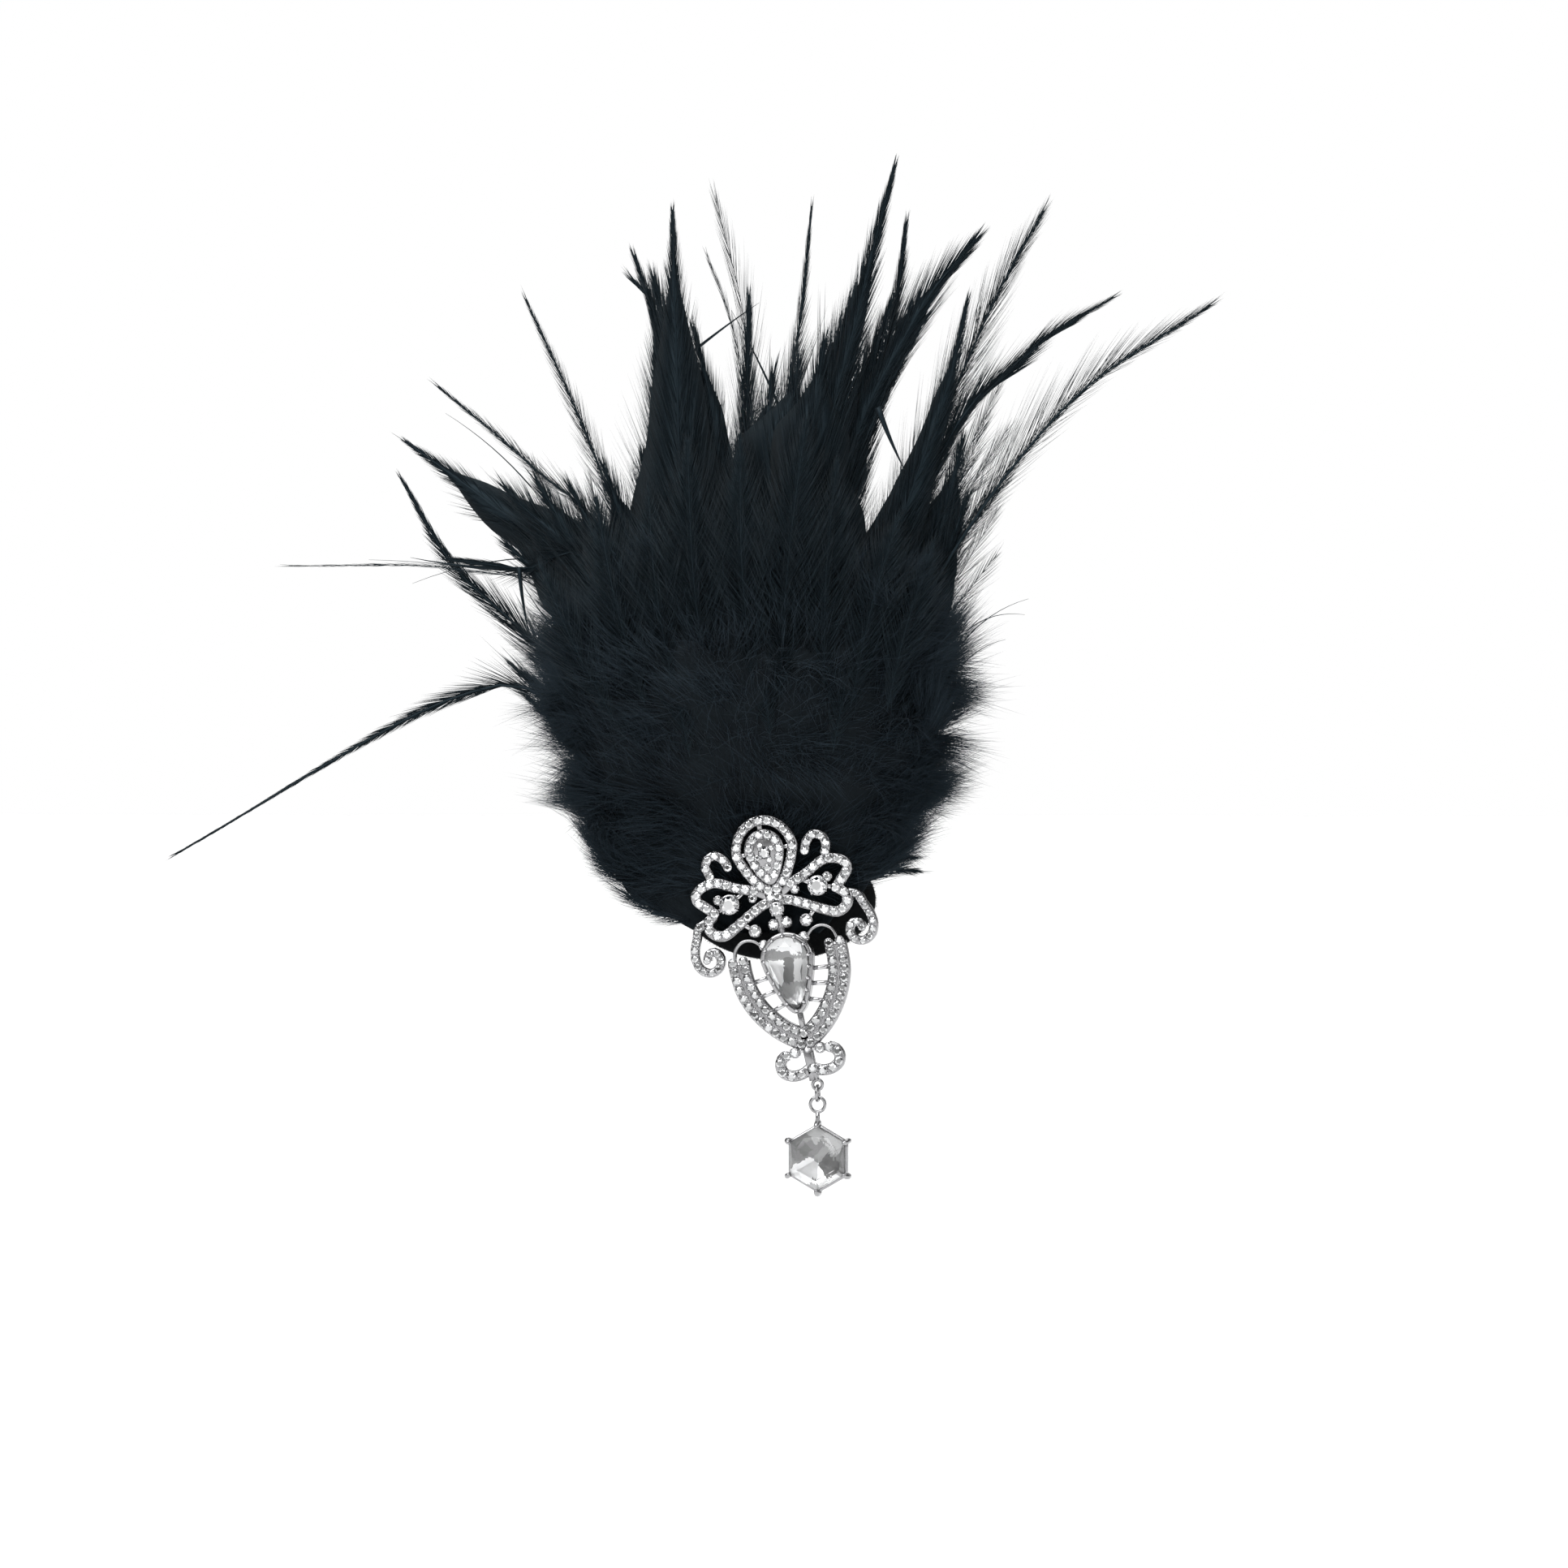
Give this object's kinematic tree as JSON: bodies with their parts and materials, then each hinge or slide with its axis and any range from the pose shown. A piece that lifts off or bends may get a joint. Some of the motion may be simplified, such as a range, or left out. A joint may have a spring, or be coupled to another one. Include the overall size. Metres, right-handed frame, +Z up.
{
  "type": "feather hair clip",
  "caption": "Hair clip with a fan of black hackle feathers and down behind a silver openwork brooch set with clear stones, a crystal drop swinging below it.",
  "frame": {"origin": "between the clip's jaws, where the hair is gripped, level with the brooch's crown", "axes": "+X to the viewer's right seen from the front, +Y from the brooch back through the clip, +Z up along the clip"},
  "size_m": [0.2366, 0.0337, 0.2285],
  "materials": {
    "clip_steel": "plain spring steel",
    "felt": "matt black felt",
    "feather": "soft black feather with a faint cool sheen",
    "silver": "bright silver plating",
    "crystal": "clear cut glass"
  },
  "bodies": {
    "ornament": {"clip": "clip_steel", "felt_pad": "felt", "hackle_fan": "feather", "marabou_puff": "feather", "brooch_frame": "silver", "pear_stone": "crystal", "halo_stone": "crystal", "side_stone_right": "crystal", "side_stone_left": "crystal", "trefoil_stone": "crystal"},
    "link": {"jump_ring": "silver"},
    "drop": {"drop_setting": "silver", "drop_stone": "crystal"}
  },
  "joints": [
    {"name": "link_swing", "type": "hinge", "parent": "ornament", "child": "link", "pos_m": [0.00942, -0.01335, -0.04162], "axis": [1, 0, 0], "range_deg": [-70, 70]},
    {"name": "drop_swing", "type": "hinge", "parent": "link", "child": "drop", "pos_m": [0.00942, -0.01335, -0.04414], "axis": [0, 1, 0], "range_deg": [-60, 60]}
  ]
}
